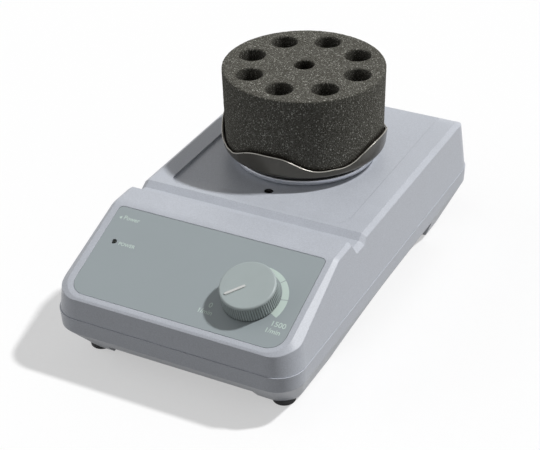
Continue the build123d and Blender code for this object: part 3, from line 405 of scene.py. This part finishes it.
def make_foam():
    """The holder block, remeshed evenly, its edges softened and its skin roughened."""
    mesh = applied(nodes["foam_insert"].data.copy(), [
        ("REMESH", {"mode": "VOXEL", "voxel_size": FOAM_VOXEL}),
        ("SMOOTH", {"factor": 0.5, "iterations": 3}),
    ])
    normals = [vertex.normal.copy() for vertex in mesh.vertices]
    for vertex, normal in zip(mesh.vertices, normals):
        coarse = noise.noise(vertex.co * FOAM_COARSE)
        fine = noise.noise(vertex.co * FOAM_FINE)
        vertex.co += normal * FOAM_ROUGHNESS * (coarse + FOAM_FINE_SHARE * fine - FOAM_SINK)
    mesh.update()
    foam = add_piece("foam_block", mesh, materials["foam"], "foam", smooth=True)
    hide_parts("foam_insert")


def make_rim():
    """Thin bead along the dish's wavy upper edge, its light colour a painted highlight."""
    dish = nodes["attachment_dish"].data
    low = Vector([min(vertex.co[i] for vertex in dish.vertices) for i in range(3)])
    high = Vector([max(vertex.co[i] for vertex in dish.vertices) for i in range(3)])
    middle = (low + high) / 2
    crests = {}
    for vertex in dish.vertices:
        away = (vertex.co - middle).to_2d()
        step = round(math.atan2(away.y, away.x) / math.tau * RIM_STEPS) % RIM_STEPS
        rank = (vertex.co.z + away.length, vertex.index)
        if step not in crests or rank > crests[step][0]:
            crests[step] = (rank, vertex.co.copy())
    points = [crests[step][1] for step in sorted(crests)]
    for _ in range(RIM_SMOOTHINGS):
        after = points[1:] + points[:1]
        before = points[-1:] + points[:-1]
        points = [(a + 2 * p + b) / 4 for a, p, b in zip(before, points, after)]
    curve = bpy.data.curves.new("dish_rim", "CURVE")
    curve.dimensions = "3D"
    curve.bevel_depth = RIM_RADIUS
    curve.bevel_resolution = 3
    spline = curve.splines.new("POLY")
    spline.points.add(len(points) - 1)
    for point, place in zip(spline.points, points):
        point.co = (*place, 1.0)
    spline.use_cyclic_u = True
    rim = add_piece("dish_rim", curve_mesh(curve), materials["rim"], "platform", smooth=True)


# Panel print
knob_joint = next(joint for joint in frame["joints"] if joint["name"] == "speed_turn")
panel_out = Vector(knob_joint["axis"]).normalized()
panel_right = Vector((1, 0, 0))
panel_up = panel_out.cross(panel_right)
panel_turn = Matrix((panel_right, panel_up, panel_out)).transposed().to_4x4()


def panel_matrix(u, v, n=FILM_TOP):
    """Placing matrix for a thing at u, v millimetres from the knob's axis, on the film."""
    place = Vector(knob_joint["pos_m"]) + panel_right * u * MM + panel_up * v * MM + panel_out * n
    return Matrix.Translation(place) @ panel_turn


def polar(radius, degrees):
    angle = math.radians(degrees)
    return Vector((radius * math.cos(angle), radius * math.sin(angle), 0)) * MM


def scale_width(degrees):
    share = (SCALE_START - degrees) / (SCALE_START - SCALE_END)
    return SCALE_START_WIDTH + share * (SCALE_END_WIDTH - SCALE_START_WIDTH)


def scale_gaps():
    """Angles of the thin gaps that divide the scale, from its end upwards."""
    gaps = []
    angle = SCALE_GAP_FIRST
    while angle < SCALE_START:
        gaps.append(angle)
        angle += SCALE_GAP_PITCH
    return gaps


def printed(name, mesh, place):
    mesh.transform(place)
    piece = add_piece(name, mesh, materials["print"], "base")
    return piece


def make_scale():
    """Band that widens clockwise round the knob, cut into equal blocks."""
    edges = [SCALE_END] + scale_gaps() + [SCALE_START]
    half_gap = math.degrees(SCALE_GAP / SCALE_OUTER) / 2
    build = bmesh.new()
    for low, high in zip(edges, edges[1:]):
        start = low + (half_gap if low != SCALE_END else 0)
        stop = high - (half_gap if high != SCALE_START else 0)
        count = max(2, round((stop - start) / SCALE_STEP))
        angles = [start + (stop - start) * i / count for i in range(count + 1)]
        outer = [build.verts.new(polar(SCALE_OUTER, a)) for a in angles]
        inner = [build.verts.new(polar(SCALE_OUTER - scale_width(a), a)) for a in angles]
        for i in range(count):
            build.faces.new((inner[i], outer[i], outer[i + 1], inner[i + 1]))
    raised(build, build.faces[:], PRINT_THICKNESS)
    printed("dial_scale", finished(build, "dial_scale"), panel_matrix(0, 0))


def make_lettering(name, words, size, u, v):
    """Printed words, centred at u, v on the film."""
    curve = bpy.data.curves.new(name, "FONT")
    curve.body = words
    curve.size = size * MM
    curve.align_x = "CENTER"
    curve.align_y = "CENTER"
    curve.extrude = PRINT_THICKNESS / 2
    curve.offset = LETTER_WEIGHT
    printed(name, curve_mesh(curve), panel_matrix(u, v, FILM_TOP + PRINT_THICKNESS / 2))


def make_print():
    make_scale()
    make_lettering("dial_low_number", "0", NUMBER_SIZE, *LOW_NUMBER)
    make_lettering("dial_high_number", "1500", NUMBER_SIZE, *HIGH_NUMBER)
    for name, (u, v) in (("dial_low_unit", LOW_NUMBER), ("dial_high_unit", HIGH_NUMBER)):
        make_lettering(name, "1/min", UNIT_SIZE, u + UNIT_SHIFT[0], v + UNIT_SHIFT[1])
    make_lettering("lamp_legend", "POWER", LAMP_LEGEND_SIZE, LAMP_PLACE[0] + LAMP_LEGEND_SHIFT[0],
                   LAMP_PLACE[1] + LAMP_LEGEND_SHIFT[1])
    make_lettering("top_legend", "Power", TOP_LEGEND_SIZE, *TOP_LEGEND)
    make_top_mark()


def make_top_mark():
    """Small triangle beside the upper legend."""
    size = TOP_MARK_SIZE * MM
    places = ((-size, 0, 0), (size / 2, -size, 0), (size / 2, size, 0))
    build = bmesh.new()
    corners = [build.verts.new(place) for place in places]
    raised(build, [build.faces.new(corners)], PRINT_THICKNESS)
    printed("top_mark", finished(build, "top_mark"), panel_matrix(*TOP_MARK))


def make_pointer():
    """Round-ended bar, lighter than the knob, over the knob's pointer rib."""
    half = POINTER_HALF_WIDTH
    outline = []
    for centre, turn in ((POINTER_END - half, -90.0), (POINTER_START + half, 90.0)):
        for step in range(POINTER_END_STEPS + 1):
            angle = math.radians(turn + 180.0 * step / POINTER_END_STEPS)
            place = Vector((centre + half * math.cos(angle), half * math.sin(angle), POINTER_BOTTOM))
            outline.append(place * MM)
    build = bmesh.new()
    bottom = build.faces.new([build.verts.new(place) for place in outline])
    top = raised(build, [bottom], (POINTER_TOP - POINTER_BOTTOM) * MM)
    rim = [edge for edge in build.edges if all(vertex in top for vertex in edge.verts)]
    bmesh.ops.bevel(build, geom=rim, offset=POINTER_EDGE * MM, segments=POINTER_EDGE_STEPS,
                    affect="EDGES", profile=0.5)
    mesh = finished(build, "pointer_bar")
    mesh.transform(panel_matrix(0, 0, 0) @ Matrix.Rotation(POINTER_ANGLE, 4, "Z"))
    bar = add_piece("pointer_bar", mesh, materials["pointer"], "knob")


# Stage
def make_floor():
    """White paper that keeps a pale shadow and throws little light back on the object."""
    mesh = bpy.data.meshes.new("floor")
    half = FLOOR_HALF
    corners = [(-half, -half, 0), (half, -half, 0), (half, half, 0), (-half, half, 0)]
    mesh.from_pydata(corners, [], [(0, 1, 2, 3)])
    floor = bpy.data.objects.new("floor", mesh)
    bpy.context.scene.collection.objects.link(floor)
    material, tree, shader = new_material("floor_paper")
    seen = shown(tree)
    shade = ramp(tree, seen, [(0.0, (FLOOR_BOUNCE,) * 3 + (1.0,)), (1.0, (FLOOR_SHOWN,) * 3 + (1.0,))])
    tree.links.new(shade, shader.inputs["Base Color"])
    shader.inputs["Roughness"].default_value = 1.0
    shader.inputs["Specular IOR Level"].default_value = 0.0
    shader.inputs["Emission Color"].default_value = (1, 1, 1, 1)
    glow = tree.nodes.new("ShaderNodeMath")
    glow.operation = "MULTIPLY"
    glow.inputs[1].default_value = FLOOR_GLOW
    tree.links.new(seen, glow.inputs[0])
    tree.links.new(glow.outputs["Value"], shader.inputs["Emission Strength"])
    floor.data.materials.append(material)


def make_sky():
    """Even grey light, seen as white by the camera and in reflections."""
    world = bpy.data.worlds.new("studio")
    bpy.context.scene.world = world
    world.use_nodes = True
    tree = world.node_tree
    tree.nodes.clear()
    seen = shown(tree)
    strength = tree.nodes.new("ShaderNodeMapRange")
    strength.inputs["To Min"].default_value = SKY_STRENGTH
    strength.inputs["To Max"].default_value = 1.0
    tree.links.new(seen, strength.inputs["Value"])
    background = tree.nodes.new("ShaderNodeBackground")
    background.inputs["Color"].default_value = (1, 1, 1, 1)
    tree.links.new(strength.outputs["Result"], background.inputs["Strength"])
    output = tree.nodes.new("ShaderNodeOutputWorld")
    tree.links.new(background.outputs["Background"], output.inputs["Surface"])


def make_lamp(name, direction, strength, angle):
    data = bpy.data.lights.new(name, "SUN")
    data.energy = strength
    data.angle = angle
    lamp = bpy.data.objects.new(name, data)
    bpy.context.scene.collection.objects.link(lamp)
    lamp.rotation_euler = direction.to_track_quat("Z", "Y").to_euler()


def make_camera():
    data = bpy.data.cameras.new("camera")
    data.lens = CAMERA_LENS
    data.sensor_width = CAMERA_SENSOR
    camera = bpy.data.objects.new("camera", data)
    bpy.context.scene.collection.objects.link(camera)
    level = math.cos(CAMERA_ELEVATION)
    back = Vector((math.sin(CAMERA_AZIMUTH) * level, -math.cos(CAMERA_AZIMUTH) * level,
                   math.sin(CAMERA_ELEVATION)))
    right = (-back).cross(Vector((0, 0, 1))).normalized()
    up = back.cross(right)
    turn = Matrix((right, up, back)).transposed().to_4x4()
    roll = Matrix.Rotation(CAMERA_ROLL, 4, "Z")
    camera.matrix_world = Matrix.Translation(CAMERA_PLACE) @ turn @ roll
    bpy.context.scene.camera = camera


make_camera()
make_lamp("key", KEY_DIRECTION, KEY_STRENGTH, KEY_ANGLE)
make_lamp("fill", FILL_DIRECTION, FILL_STRENGTH, FILL_ANGLE)
make_sky()
make_floor()
make_foam()
make_rim()
make_print()
make_pointer()
bpy.context.scene.view_settings.view_transform = "Standard"
